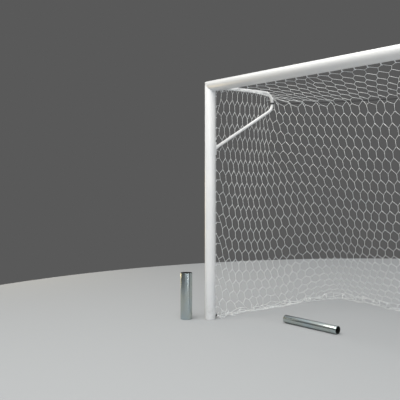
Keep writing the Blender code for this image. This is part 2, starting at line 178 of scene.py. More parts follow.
CAMERA_PLACE = (1.515, -5.186, 1.510)
CAMERA_TILT = math.radians(90 - 1.92)
CAMERA_TURN = math.radians(51.87)
CAMERA_LENS = 56.5
CAMERA_SENSOR = 36.0
FLOOR_RADIUS = 7.5
FLOOR_TONE = (0.36, 0.375, 0.39)
FLOOR_DROP = 0.0005


# ---- Material helpers ----------------------------------------------------------------------------

def node_material(name, colour, roughness, metallic=0.0):
    """A new material, its node tree and its shader."""
    material = bpy.data.materials.new(name)
    material.use_nodes = True
    tree = material.node_tree
    shader = tree.nodes["Principled BSDF"]
    shader.inputs["Base Color"].default_value = (*colour, 1.0)
    shader.inputs["Roughness"].default_value = roughness
    shader.inputs["Metallic"].default_value = metallic
    return material, tree, shader


def object_coordinates(tree, scale=(1, 1, 1)):
    """Object coordinates in metres, stretched along the axes by scale."""
    coordinates = tree.nodes.new("ShaderNodeTexCoord")
    mapping = tree.nodes.new("ShaderNodeMapping")
    mapping.inputs["Scale"].default_value = scale
    tree.links.new(coordinates.outputs["Object"], mapping.inputs["Vector"])
    return mapping.outputs["Vector"]


def noise(tree, vector, scale, detail=3.0):
    """Cloudy values from 0 to 1."""
    texture = tree.nodes.new("ShaderNodeTexNoise")
    texture.inputs["Scale"].default_value = scale
    texture.inputs["Detail"].default_value = detail
    texture.inputs["Roughness"].default_value = 0.55
    tree.links.new(vector, texture.inputs["Vector"])
    return texture.outputs["Fac"]


def ramp(tree, value, stops):
    """Colour ramp over (position, colour) stops; a plain number stands for a grey."""
    node = tree.nodes.new("ShaderNodeValToRGB")
    elements = node.color_ramp.elements
    while len(elements) < len(stops):
        elements.new(0.5)
    for element, (position, colour) in zip(elements, stops):
        element.position = position
        rgb = (colour,) * 3 if isinstance(colour, (int, float)) else colour
        element.color = (*rgb, 1.0)
    tree.links.new(value, node.inputs["Fac"])
    return node.outputs["Color"]


def spread(tree, value, low, high):
    """Map a 0 to 1 value onto low to high."""
    node = tree.nodes.new("ShaderNodeMapRange")
    node.inputs["To Min"].default_value = low
    node.inputs["To Max"].default_value = high
    tree.links.new(value, node.inputs["Value"])
    return node.outputs["Result"]


def mixed(tree, share, colour_a, colour_b, blend="MIX"):
    """Blend two colours, each a socket or three numbers, by a share that is a socket or a number."""
    node = tree.nodes.new("ShaderNodeMix")
    node.data_type = "RGBA"
    node.blend_type = blend
    sockets = {"Factor": share, "A": colour_a, "B": colour_b}
    inputs = {"Factor": node.inputs[0], "A": node.inputs[6], "B": node.inputs[7]}
    for key, value in sockets.items():
        if isinstance(value, bpy.types.NodeSocket):
            tree.links.new(value, inputs[key])
        elif isinstance(value, (int, float)):
            inputs[key].default_value = value
        else:
            inputs[key].default_value = (*value, 1.0)
    return node.outputs[2]


def bump(tree, shader, height, distance, strength):
    """Raise the shader's surface by a height from 0 to 1 over a distance in metres."""
    node = tree.nodes.new("ShaderNodeBump")
    node.inputs["Distance"].default_value = distance
    node.inputs["Strength"].default_value = strength
    tree.links.new(height, node.inputs["Height"])
    tree.links.new(node.outputs["Normal"], shader.inputs["Normal"])


def height_share(tree, low, high):
    """0 below low metres above the ground, rising to 1 at high metres."""
    coordinates = tree.nodes.new("ShaderNodeTexCoord")
    split = tree.nodes.new("ShaderNodeSeparateXYZ")
    node = tree.nodes.new("ShaderNodeMapRange")
    node.inputs["From Min"].default_value = low
    node.inputs["From Max"].default_value = high
    tree.links.new(coordinates.outputs["Object"], split.inputs["Vector"])
    tree.links.new(split.outputs["Z"], node.inputs["Value"])
    return node.outputs["Result"]


# ---- Materials -----------------------------------------------------------------------------------

def powder_coat():
    """White powder coat: fine orange peel, soft gloss, greyer in patches towards the feet, within the
    lowest 0.28 m.
    """
    material, tree, shader = node_material("powder_coat", (0.84, 0.85, 0.86), 0.34)
    vector = object_coordinates(tree)
    cloud = noise(tree, vector, 3.0)
    clean = ramp(tree, cloud, [(0.35, (0.80, 0.82, 0.84)), (0.65, (0.86, 0.87, 0.875))])
    low_patch_noise = noise(tree, vector, 28.0, 5.0)
    low_patch_mask = ramp(tree, low_patch_noise, [(0.42, 0.0), (0.75, 1.0)])
    # Greyer patches, strongest at the ground and gone by 0.28 m up: the coat is darker towards the
    # bottom.
    near_ground = spread(tree, height_share(tree, 0.0, 0.28), 0.55, 0.0)
    low_grey_share = mixed(tree, near_ground, (0.0, 0.0, 0.0), low_patch_mask)
    colour = mixed(tree, low_grey_share, clean, (0.55, 0.56, 0.55))
    tree.links.new(colour, shader.inputs["Base Color"])
    tree.links.new(spread(tree, noise(tree, vector, 9.0), 0.27, 0.44), shader.inputs["Roughness"])
    shader.inputs["Coat Weight"].default_value = 0.25
    shader.inputs["Coat Roughness"].default_value = 0.18
    peel = noise(tree, vector, 420.0, 2.0)
    bump(tree, shader, peel, 0.00012, 0.6)
    return material


def cast_metal():
    """Cast aluminium: grainy skin with cloudy patches."""
    material, tree, shader = node_material("cast_metal", (0.60, 0.61, 0.63), 0.46, 0.9)
    vector = object_coordinates(tree)
    grain = noise(tree, vector, 260.0, 4.0)
    colour = ramp(tree, noise(tree, vector, 14.0), [(0.3, (0.52, 0.53, 0.55)), (0.7, (0.66, 0.67, 0.69))])
    tree.links.new(colour, shader.inputs["Base Color"])
    tree.links.new(spread(tree, grain, 0.38, 0.58), shader.inputs["Roughness"])
    bump(tree, shader, grain, 0.0004, 0.7)
    return material


def zinc_steel():
    """Galvanised steel: fine spangle, drawn streaks along the tube, a faint straw and blue bloom."""
    material, tree, shader = node_material("zinc_steel", (0.42, 0.47, 0.48), 0.3, 1.0)
    vector = object_coordinates(tree)
    spangle = tree.nodes.new("ShaderNodeTexVoronoi")
    spangle.inputs["Scale"].default_value = 160.0
    tree.links.new(vector, spangle.inputs["Vector"])
    facets = ramp(tree, spangle.outputs["Color"], [(0.2, (0.40, 0.47, 0.49)), (0.8, (0.50, 0.57, 0.59))])
    bloom = ramp(tree, noise(tree, vector, 6.0), [(0.40, (0.52, 0.53, 0.42)), (0.60, (0.42, 0.52, 0.56))])
    base = mixed(tree, 0.4, facets, bloom)
    streaks = noise(tree, object_coordinates(tree, (1.0, 1.0, 0.05)), 110.0, 4.0)
    streaked = mixed(tree, spread(tree, streaks, 0.0, 0.3), base, (0.66, 0.70, 0.70))
    tree.links.new(streaked, shader.inputs["Base Color"])
    tree.links.new(spread(tree, streaks, 0.18, 0.30), shader.inputs["Roughness"])
    bump(tree, shader, streaks, 0.00003, 0.4)
    return material


def bore_painted_shade():
    """Inside of the steel tubes: rough, half-metallic steel painted near black as painted shade for the
    dark hollow, with slightly paler patches at random.
    """
    material, tree, shader = node_material("bore_painted_shade", (0.02, 0.022, 0.022), 0.7, 0.5)
    vector = object_coordinates(tree)
    patches = noise(tree, vector, 35.0, 5.0)
    tone = ramp(tree, patches, [(0.4, (0.012, 0.014, 0.014)), (0.8, (0.05, 0.05, 0.046))])
    tree.links.new(tone, shader.inputs["Base Color"])
    scale = noise(tree, vector, 240.0, 4.0)
    tree.links.new(spread(tree, scale, 0.55, 0.85), shader.inputs["Roughness"])
    bump(tree, shader, scale, 0.0004, 0.6)
    return material


def moulded_plastic(name, colour, roughness):
    """Moulded plastic: even colour with paler clouds and a fine grain."""
    material, tree, shader = node_material(name, colour, roughness)
    vector = object_coordinates(tree)
    lighter = tuple(min(channel * 1.12 + 0.01, 1.0) for channel in colour)
    tone = ramp(tree, noise(tree, vector, 60.0), [(0.3, colour), (0.7, lighter)])
    tree.links.new(tone, shader.inputs["Base Color"])
    grain = noise(tree, vector, 900.0, 2.0)
    tree.links.new(spread(tree, grain, roughness - 0.06, roughness + 0.10), shader.inputs["Roughness"])
    bump(tree, shader, grain, 0.00015, 0.5)
    return material


def braided_rope():
    """Black braid: two crossed sets of slanting plaits along X."""
    material, tree, shader = node_material("braided_rope", (0.018, 0.020, 0.024), 0.78)
    coordinates = tree.nodes.new("ShaderNodeTexCoord")
    waves = []
    for slant in (1, -1):
        mapping = tree.nodes.new("ShaderNodeMapping")
        mapping.inputs["Rotation"].default_value = (0.0, slant * math.radians(35), 0.0)
        wave = tree.nodes.new("ShaderNodeTexWave")
        wave.inputs["Scale"].default_value = 90.0
        tree.links.new(coordinates.outputs["Object"], mapping.inputs["Vector"])
        tree.links.new(mapping.outputs["Vector"], wave.inputs["Vector"])
        waves.append(wave.outputs["Fac"])
    plaits = mixed(tree, 1.0, waves[0], waves[1], "MULTIPLY")
    tone = ramp(tree, plaits, [(0.1, (0.008, 0.009, 0.011)), (0.8, (0.045, 0.050, 0.056))])
    tree.links.new(tone, shader.inputs["Base Color"])
    bump(tree, shader, plaits, 0.0008, 0.9)
    return material


def net_cord():
    """White knotless polypropylene: a twisted lay, slightly uneven whiteness, soft sheen."""
    material, tree, shader = node_material("net_cord", (0.86, 0.90, 0.92), 0.62)
    vector = object_coordinates(tree)
    tone = ramp(tree, noise(tree, vector, 5.0), [(0.3, (0.88, 0.93, 0.95)), (0.7, (0.97, 0.98, 0.98))])
    tree.links.new(tone, shader.inputs["Base Color"])
    lay = noise(tree, vector, 700.0, 1.0)
    tree.links.new(spread(tree, lay, 0.52, 0.74), shader.inputs["Roughness"])
    shader.inputs["Sheen Weight"].default_value = 0.25
    shader.inputs["Sheen Roughness"].default_value = 0.5
    bump(tree, shader, lay, 0.0005, 0.6)
    return material


def floor_finish():
    """Plain pale floor, one even tone with a faint matt grain."""
    material, tree, shader = node_material("studio_floor", FLOOR_TONE, 0.8)
    grain = noise(tree, object_coordinates(tree), 40.0)
    tree.links.new(spread(tree, grain, 0.76, 0.86), shader.inputs["Roughness"])
    shader.inputs["Specular IOR Level"].default_value = 0.0
    return material


# ---- Mesh helpers --------------------------------------------------------------------------------

def swept_tube(points, radius, sides):
    """Vertices and faces of a closed round tube along a smooth line of points."""
    points = np.array(points, float)
    along = np.gradient(points, axis=0)
    along /= np.linalg.norm(along, axis=1)[:, None]
    across = np.cross(along, (0.0, 0.0, 1.0))
    across /= np.linalg.norm(across, axis=1)[:, None]
    upward = np.cross(across, along)
    angles = 2 * np.pi * np.arange(sides) / sides
    turned = np.cos(angles)[None, :, None] * across[:, None, :]
    turned = turned + np.sin(angles)[None, :, None] * upward[:, None, :]
    vertices = (points[:, None, :] + radius * turned).reshape(-1, 3)
    faces = [list(range(sides)), list(range(len(vertices) - 1, len(vertices) - 1 - sides, -1))]
    for ring in range(len(points) - 1):
        for side in range(sides):
            after = (side + 1) % sides
            base = ring * sides
            faces.append([base + side, base + sides + side, base + sides + after, base + after])
    return vertices, faces


def clean_mesh(mesh, weld_distance=0.0):
    """Turn the faces outward and close the ends of a lathe-turned part at their middle."""
    work = bmesh.new()
    work.from_mesh(mesh)
    if weld_distance:
        bmesh.ops.remove_doubles(work, verts=work.verts, dist=weld_distance)
        loose = [edge for edge in work.edges if not edge.link_faces]
        bmesh.ops.delete(work, geom=loose, context="EDGES")
    bmesh.ops.recalc_face_normals(work, faces=work.faces)
    work.to_mesh(mesh)
    work.free()


def finished_piece(name, vertices, faces, materials, body, sharp_angle=40, place=Matrix(),
                   weld_distance=0.0):
    """A smooth-shaded mesh piece in its place, on its body, with its finish from a record slot."""
    mesh = bpy.data.meshes.new(name)
    mesh.from_pydata([tuple(vertex) for vertex in vertices], [], faces)
    clean_mesh(mesh, weld_distance)
    mesh.shade_smooth()
    mesh.set_sharp_from_angle(angle=math.radians(sharp_angle))
    for material in materials:
        mesh.materials.append(material)
    piece = bpy.data.objects.new(name, mesh)
    bpy.context.collection.objects.link(piece)
    piece.matrix_world = place
    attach(piece, body)
    return piece


def ring_shell(rings):
    """Vertices and faces of a closed shell through rings; the last ring joins the first."""
    sides = len(rings[0])
    count = len(rings)
    vertices = [vertex for ring in rings for vertex in ring]
    faces = []
    for ring in range(count):
        after_ring = (ring + 1) % count
        for side in range(sides):
            after = (side + 1) % sides
            faces.append([
                ring * sides + side,
                ring * sides + after,
                after_ring * sides + after,
                after_ring * sides + side,
            ])
    return vertices, faces


def pipe_rings(radius, wall, low, high, edge):
    """Rings of a pipe along +Z with eased edges; low and high give the ends' heights by (x, y)."""
    inner = radius - wall
    profile = [
        (radius - edge, low, 0.0),
        (radius - edge * 0.3, low, edge * 0.3),
        (radius, low, edge),
        (radius, high, -edge),
        (radius - edge * 0.3, high, -edge * 0.3),
        (radius - edge, high, 0.0),
        (inner, high, 0.0),
        (inner, low, 0.0),
    ]
    rings = []
    for reach, end, shift in profile:
        ring = []
        for side in range(TUBE_SIDES):
            angle = 2 * math.pi * side / TUBE_SIDES
            x = reach * math.cos(angle)
            y = reach * math.sin(angle)
            ring.append((x, y, end(x, y) + shift))
        rings.append(ring)
    return rings


def lathe_rings(profile):
    """Rings of a turned part round +Z; a radius of 0 becomes a tiny ring, to be welded."""
    rings = []
    for radius, height in profile:
        reach = max(radius, CLOSED_END_RADIUS)
        angles = [2 * math.pi * side / TUBE_SIDES for side in range(TUBE_SIDES)]
        rings.append([(reach * math.cos(a), reach * math.sin(a), height) for a in angles])
    return rings


# ---- Net: lattice --------------------------------------------------------------------------------

class Net:
    """Knots, cords and ties of the netting. A cord belongs to a panel, named for its piece."""

    def __init__(self):
        self.knots = []
        self.cords = []
        self.lengths = []
        self.panels = []
        self.ties = {}
        self.rope_loops = []

    def knot(self, place):
        self.knots.append(place)
        return len(self.knots) - 1

    def cord(self, start, end, length, panel):
        self.cords.append((start, end))
        self.lengths.append(length)
        self.panels.append(panel)


def rope_place(x):
    """Middle of the rope at x: pulled down and forwards by the net between the bow tips."""
    slack = max(1 - (x / POST_X) ** 2, 0.0)
    return (x, TIP_Y - ROPE_BOW * slack, TIP_Z - ROPE_SAG * slack)


def bow_outline(run, offset):
    """(y, z) at a run along a bow's top leg and down round its nose, offset outside its middle."""
    nose = BAR_Z - TIP_Z
    leg = TIP_Y - nose - (GOAL_LINE_Y + HOOK_SEAT)
    if run < leg:
        return GOAL_LINE_Y + HOOK_SEAT + run, BAR_Z + offset
    angle = min((run - leg) / nose, math.pi / 2)
    reach = nose + offset
    return TIP_Y - nose + reach * math.sin(angle), TIP_Z + reach * math.cos(angle)


BOW_RUN = TIP_Y - GOAL_LINE_Y - HOOK_SEAT + (BAR_Z - TIP_Z) * (math.pi / 2 - 1)


def blend_points(start, end, share):
    """The point that lies a share of the way from start to end."""
    return tuple(a + (b - a) * share for a, b in zip(start, end))


def crossbar_hook(column):
    """The crossbar hook that takes a column: close together by the corners, wide in the middle."""
    share = column / COLUMNS
    mirrored = min(share, 1 - share) * 2
    drift = CROSSBAR_DRIFT * math.sin(math.pi * mirrored ** 1.5)
    x = (2 * share - 1) * (POST_X - POST_RADIUS) + math.copysign(drift, 0.5 - share)
    count = int((POST_X - POST_RADIUS) / HOOK_PITCH - 0.5)
    index = max(-count, min(count, round(x / HOOK_PITCH)))
    y = GOAL_LINE_Y + HOOK_SEAT * math.cos(HOOK_ANGLE)
    z = BAR_Z - HOOK_SEAT * math.sin(HOOK_ANGLE)
    return (index * HOOK_PITCH + HOOK_SIDE_SHIFT, y, z)


def curtain_top(half):
    """Top of the curtain at a half column: on a bow, gathered at its tip, or on the rope."""
    if half < SIDE_HALVES:
        column = half / 2
    elif half > SIDE_HALVES + BACK_HALVES:
        column = (LAST_HALF - half) / 2
    else:
        x = (2 * (half - SIDE_HALVES) / BACK_HALVES - 1) * (POST_X - CURTAIN_END_GAP)
        rope = rope_place(x)
        return (x, rope[1], rope[2] + ROPE_RADIUS + CORD_RADIUS)
    leg_run = BOW_RUN - NOSE_RUN
    if column < LACED_COLUMNS:
        run = leg_run * (column / LACED_COLUMNS) ** 0.9
    else:
        run = leg_run + NOSE_RUN * (column - LACED_COLUMNS) / (SIDE_COLUMNS - LACED_COLUMNS)
    y, z = bow_outline(run, BOW_RADIUS * 0.5)
    side = -1 if half < SIDE_HALVES else 1
    return (side * (POST_X + BOW_RADIUS + CORD_RADIUS), y, z)


def hem_line():
    """The ground line of the curtain, from the left post round both corners to the right post."""
    front = GOAL_LINE_Y + HOOK_SEAT
    corner_x = POST_X - 0.10
    left = [
        (-POST_X + 0.005, front),
        (-POST_X - 0.024, front + 0.27),
        (-POST_X - 0.005, front + 0.52),
        (-POST_X - 0.040, front + 0.78),
        (-POST_X - 0.052, front + 1.00),
        (-POST_X - 0.030, front + 1.55),
        (-POST_X - 0.005, front + 1.84),
        (-corner_x, HEM_BACK_Y + 0.015),
        (-POST_X + 0.55, HEM_BACK_Y - 0.03),
        (-POST_X + 1.00, HEM_BACK_Y - 0.09),
    ]
    middle = [(x, HEM_BACK_Y - 0.10 + 0.02 * math.sin(2.3 * x)) for x in (-1.8, -0.9, 0, 0.9, 1.8)]
    right = [(-x, y) for x, y in reversed(left)]
    return left + middle + right


def along_line(points, count):
    """Evenly spaced points along a polyline, both ends included."""
    points = np.array(points)
    runs = np.concatenate(([0], np.cumsum(np.hypot(*np.diff(points, axis=0).T))))
    wanted = np.linspace(0, runs[-1], count)
    return np.column_stack([np.interp(wanted, runs, points[:, axis]) for axis in (0, 1)])


def lattice_drop(half, row, rows):
    """How far down the net a knot starts, 0 to 1, with the zigzag of the hexagons."""
    lean = LATTICE_LEAN if (half + row) % 2 == 0 else -LATTICE_LEAN
    return min(max((row + lean) / rows, 0.0), 1.0)


def lay_curtain(net, random):
    """Left side, back and right side in one lattice, from the bows and the rope to the ground."""
    hem = along_line(hem_line(), LAST_HALF + 1)
    grid = {}
    for row in range(CURTAIN_ROWS + 1):
        for half in range(LAST_HALF + 1):
            drop = lattice_drop(half, row, CURTAIN_ROWS)
            x, y, z = blend_points(curtain_top(half), (*hem[half], HEM_START_Z), drop)
            belly = NET_BELLY * 4 * drop * (1 - drop)
            if half < SIDE_HALVES or half > LAST_HALF - SIDE_HALVES:
                belly *= SIDE_BELLY_SHARE
            grid[half, row] = net.knot((x, y - belly, z))
    for row in range(CURTAIN_ROWS + 1):
        for half in range(LAST_HALF + 1):
            panel = "net_back_cords"
            if half < SIDE_HALVES:
                panel = "net_left_side_cords"
            elif half >= LAST_HALF - SIDE_HALVES:
                panel = "net_right_side_cords"
            if half < LAST_HALF:
                net.cord(grid[half, row], grid[half + 1, row], MESH_SIDE, panel)
            if row < CURTAIN_ROWS and (half + row) % 2 == 0:
                net.cord(grid[half, row], grid[half, row + 1], MESH_SIDE, panel)
            if row < CURTAIN_ROWS and half in (0, LAST_HALF) and (half + row) % 2 == 1:
                net.cord(grid[half, row], grid[half, row + 1], BORDER_SIDE, panel)
    tie_curtain(net, grid)
    tie_hem(net, grid, hem, random)
    return grid


def tie_curtain(net, grid):
    """Hook the curtain's two ends to the posts and lace its sides' upper edges to the bows."""
    for half, side in ((0, -1), (LAST_HALF, 1)):
        for row in range(CURTAIN_ROWS - UNHOOKED_ROWS):
            z = BAR_Z - HOOK_SEAT * 1.1 - row * POST_HOOK_PITCH
            if abs(z - BRACKET_Z) > BRACKET_CLEARANCE:
                seat = (side * POST_X, GOAL_LINE_Y + HOOK_SEAT, max(z, LOWEST_HOOK))
                net.ties[grid[half, row]] = seat
    for half in range(1, LAST_HALF, 2):
        if min(half, LAST_HALF - half) < SIDE_HALVES:
            net.ties[grid[half, 0]] = curtain_top(half)


def tie_hem(net, grid, hem, random):
    """Gather the net's last rows on the ground in an uneven hem."""
    for half in range(0, LAST_HALF + 1, 2):
        x, y = hem[half]
        x += random.uniform(-HEM_SCATTER_X, HEM_SCATTER_X)
        y += random.uniform(-HEM_SCATTER_Y, HEM_SCATTER_Y)
        net.ties[grid[half, CURTAIN_ROWS]] = (x, y, FLOOR_LEVEL + random.uniform(0, HEM_LIFT))
        if 0 < half < LAST_HALF:
            on_side = min(half, LAST_HALF - half) < SIDE_HALVES
            held_row = CURTAIN_ROWS - (SIDE_HEM_ROWS if on_side else BACK_HEM_ROWS)
            held_row += (held_row + half) % 2
            lift = random.uniform(0.1, 0.9) * HEM_LIFT
            out = random.uniform(-HEM_SCATTER_Y, HEM_SCATTER_Y)
            place = (x + out * 0.5, y + out, FLOOR_LEVEL + lift)
            net.ties[grid[half, held_row]] = place


def lay_roof(net, curtain):
    """Roof: from the crossbar's hooks back to the rope, laced to both bows."""
    front = (GOAL_LINE_Y + HOOK_SEAT / 2, BAR_Z - HOOK_SEAT)
    last = BACK_HALVES
    grid = {}
    for row in range(ROOF_ROWS + 1):
        for half in range(last + 1):
            if row == ROOF_ROWS:
                grid[half, row] = curtain[half + SIDE_HALVES, 0]
                continue
            x = (2 * half / last - 1) * (POST_X - ROOF_END_GAP)
            share = lattice_drop(half, row, ROOF_ROWS)
            grid[half, row] = net.knot(blend_points((x, *front), rope_place(x), share))
    for row in range(ROOF_ROWS):
        for half in range(last + 1):
            if half < last:
                net.cord(grid[half, row], grid[half + 1, row], ROOF_MESH_SIDE, "net_roof_cords")
            if (half + row) % 2 == 0 or half in (0, last):
                net.cord(grid[half, row], grid[half, row + 1], ROOF_MESH_SIDE, "net_roof_cords")
    for half in range(1, last, 2):
        net.ties[grid[half, 0]] = crossbar_hook(half / 2)
    for half in range(1, last, 4):
        place = curtain_top(half + SIDE_HALVES)
        net.ties[grid[half, ROOF_ROWS]] = place
        net.rope_loops.append(rope_place(place[0]))
    for half, side in ((0, -1), (last, 1)):
        for row in range(1, ROOF_ROWS):
            y, z = bow_outline(BOW_RUN * row / ROOF_ROWS, BOW_RADIUS + CORD_RADIUS)
            net.ties[grid[half, row]] = (side * (POST_X - BOW_RADIUS * 0.5), y, z)
        tip = (side * (POST_X - BOW_RADIUS), TIP_Y + BOW_RADIUS + CORD_RADIUS, TIP_Z)
        net.ties[grid[half, ROOF_ROWS]] = tip


# ---- Net: hanging --------------------------------------------------------------------------------

def cord_groups(net):
    """Split the cords into groups that share no knot, so that a whole group moves at once."""
    taken = [set() for _ in net.knots]
    group_of = []
    for start, end in net.cords:
        group = 0
        while group in taken[start] or group in taken[end]:
            group += 1
        taken[start].add(group)
        taken[end].add(group)
        group_of.append(group)
    return np.array(group_of)


def hang(net):
    """Let the net fall from its laid-out start: stiff cords, fixed ties, gravity, ground and bows."""
    places = np.array(net.knots, float)
    cords = np.array(net.cords)
    lengths = np.array(net.lengths)
    tied = np.array(list(net.ties))
    seats = np.array(list(net.ties.values()))
    weight = np.ones(len(places))
    weight[tied] = 0.0
    begin = places[tied].copy()
    laid_out = places.copy()
    group_of = cord_groups(net)
    groups = []
    for group in range(group_of.max() + 1):
        members = np.flatnonzero(group_of == group)
        start, end = cords[members, 0], cords[members, 1]
        total = weight[start] + weight[end]
        free = total > 0
        start, end, total = start[free], end[free], total[free]
        share_start = (weight[start] / total)[:, None]
        share_end = (weight[end] / total)[:, None]
        groups.append((start, end, lengths[members][free], share_start, share_end))
    side_of = np.sign(places[:, 0])
    outside = (np.abs(places[:, 0]) > POST_X + BOW_RADIUS * 0.8) & (weight > 0)
    bow_x = POST_X + BOW_RADIUS + 2 * CORD_RADIUS
    before = places.copy()
    for step in range(HANG_STEPS):
        pull = min(step / (HANG_STEPS * TIE_SHARE), 1.0)
        speed = (places - before) * AIR_DRAG
        before = places.copy()
        places = places + speed
        places[:, 2] -= GRAVITY * TIME_STEP ** 2 * (weight > 0)
        places += (laid_out - places) * (SET_OF_CORDS * (weight > 0))[:, None]
        places[tied] = begin * (1 - pull) + seats * pull
        for start, end, length, share_start, share_end in groups:
            gap = places[end] - places[start]
            span = np.sqrt((gap * gap).sum(axis=1))
            shift = gap * ((span - length) / span)[:, None]
            places[start] += shift * share_start
            places[end] -= shift * share_end
        low = (places[:, 2] < FLOOR_LEVEL) & (weight > 0)
        places[low, 2] = FLOOR_LEVEL
        before[low, :2] = places[low, :2] - (places[low, :2] - before[low, :2]) * GROUND_DRAG
        before[low, 2] = FLOOR_LEVEL
        by_bow = (places[:, 1] < TIP_Y + BOW_REACH) & (places[:, 2] > BOW_LOWEST)
        inside = outside & by_bow & (places[:, 0] * side_of < bow_x)
        places[inside, 0] = side_of[inside] * bow_x
    return places


def hung_net():
    """The whole net, and the places of its knots once it hangs still."""
    random = np.random.default_rng(7)
    net = Net()
    curtain = lay_curtain(net, random)
    lay_roof(net, curtain)
    uneven = (1 - CORD_UNEVENNESS, 1 + CORD_UNEVENNESS)
    net.lengths = [length * random.uniform(*uneven) for length in net.lengths]
    return net, hang(net)


# ---- Net: cords ----------------------------------------------------------------------------------

def cord_tubes(starts, ends, radius):
    """Vertices and faces of closed six-sided tubes between pairs of points."""
    along = ends - starts
    along = along / np.linalg.norm(along, axis=1)[:, None]
    helper = np.where(np.abs(along[:, 2:3]) < 0.9, np.array([[0, 0, 1.0]]), np.array([[1.0, 0, 0]]))
    across = np.cross(along, helper)
    across /= np.linalg.norm(across, axis=1)[:, None]
    upward = np.cross(across, along)
    rings = []
    for middle in (starts, ends):
        for corner in range(CORD_SIDES):
            angle = 2 * math.pi * corner / CORD_SIDES
            rings.append(middle + radius * (math.cos(angle) * across + math.sin(angle) * upward))
    vertices = np.stack(rings, axis=1).reshape(-1, 3)
    pattern = []
    for corner in range(CORD_SIDES):
        after = (corner + 1) % CORD_SIDES
        pattern.append((corner, after, after + CORD_SIDES, corner + CORD_SIDES))
    caps = [tuple(reversed(range(CORD_SIDES))), tuple(range(CORD_SIDES, 2 * CORD_SIDES))]
    faces = []
    for base in range(0, len(vertices), 2 * CORD_SIDES):
        for face in pattern + caps:
            faces.append([base + index for index in face])
    return vertices, faces


def knot_balls(middles, radius):
    """Vertices and faces of a small twenty-sided ball at each point."""
    ball = bmesh.new()
    bmesh.ops.create_icosphere(ball, subdivisions=1, radius=radius)
    corners = np.array([vertex.co[:] for vertex in ball.verts])
    pattern = [[vertex.index for vertex in face.verts] for face in ball.faces]
    ball.free()
    vertices = (middles[:, None, :] + corners[None, :, :]).reshape(-1, 3)
    faces = []
    for base in range(0, len(vertices), len(corners)):
        for face in pattern:
            faces.append([base + index for index in face])
    return vertices, faces


def ring_loop(middle, along, ring_radius, cord_radius, turns=14):
    """Vertices and faces of one closed loop of cord round a tube or rope."""
    along = np.array(along, float)
    along /= np.linalg.norm(along)
    side = np.cross(along, (0.0, 0.0, 1.0) if abs(along[2]) < 0.9 else (1.0, 0.0, 0.0))
    side /= np.linalg.norm(side)
    up = np.cross(side, along)
    vertices = []
    for turn in range(turns):
        angle = 2 * math.pi * turn / turns
        out = math.cos(angle) * side + math.sin(angle) * up
        for corner in range(CORD_SIDES):
            bend = 2 * math.pi * corner / CORD_SIDES
            reach = ring_radius + cord_radius * math.cos(bend)
            vertices.append(np.array(middle) + out * reach + along * cord_radius * math.sin(bend))
    faces = []
    for turn in range(turns):
        for corner in range(CORD_SIDES):
            after_turn = (turn + 1) % turns
            after = (corner + 1) % CORD_SIDES
            faces.append([
                turn * CORD_SIDES + corner,
                after_turn * CORD_SIDES + corner,
                after_turn * CORD_SIDES + after,
                turn * CORD_SIDES + after,
            ])
    return np.array(vertices), faces


def join_parts(parts):
    """One vertex list and one face list from several."""
    vertices = []
    faces = []
    base = 0
    for part_vertices, part_faces in parts:
        vertices.append(part_vertices)
        faces.extend([base + index for index in face] for face in part_faces)
        base += len(part_vertices)
    return np.concatenate(vertices), faces


def net_piece(name, net, places, loops, material):
    """One panel of the hung net as a single mesh of cords, knots and loops."""
    members = [index for index, panel in enumerate(net.panels) if panel == name]
    cords = np.array(net.cords)[members]
    parts = [cord_tubes(places[cords[:, 0]], places[cords[:, 1]], CORD_RADIUS)]
    parts.append(knot_balls(places[np.unique(cords)], KNOT_RADIUS))
    parts.extend(loops)
    vertices, faces = join_parts(parts)
    return finished_piece(name, vertices, faces, [material], "goal", sharp_angle=180)


# ---- Camera --------------------------------------------------------------------------------------

camera_data = bpy.data.cameras.new("camera")
camera_data.lens = CAMERA_LENS
camera_data.sensor_width = CAMERA_SENSOR
camera = bpy.data.objects.new("camera", camera_data)
camera.location = CAMERA_PLACE
camera.rotation_euler = (CAMERA_TILT, 0.0, CAMERA_TURN)
bpy.context.collection.objects.link(camera)
bpy.context.scene.camera = camera
bpy.context.scene.view_settings.view_transform = "Standard"

# ---- Tension rope --------------------------------------------------------------------------------

rope_route = [rope_place(ROPE_END_X * (2 * i / ROPE_STEPS - 1)) for i in range(ROPE_STEPS + 1)]
rope_vertices, rope_faces = swept_tube(rope_route, ROPE_RADIUS, ROPE_SIDES)
rope = finished_piece("tension_rope", rope_vertices, rope_faces, [braided_rope()],
                      "goal", sharp_angle=50)
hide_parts("net_rope")

# ---- Frame and fittings --------------------------------------------------------------------------

finishes = {
    "frame_white": powder_coat(),
    "cast_aluminium": cast_metal(),
    "galvanised": zinc_steel(),
    "white_plastic": moulded_plastic("white_plastic", (0.78, 0.80, 0.81), 0.42),
    "black_plastic": moulded_plastic("black_plastic", (0.022, 0.024, 0.027), 0.48),
    "net_white": net_cord(),
}
for node in frame["nodes"].values():
    for material_slot in node.material_slots:
        slot_name = material_slot.material.name.split(".")[0] if material_slot.material else ""
        if slot_name in finishes:
            material_slot.material = finishes[slot_name]

# Second finish of the sleeves and lying tubes: painted shade, near black, for their dark insides.
bore = bore_painted_shade()


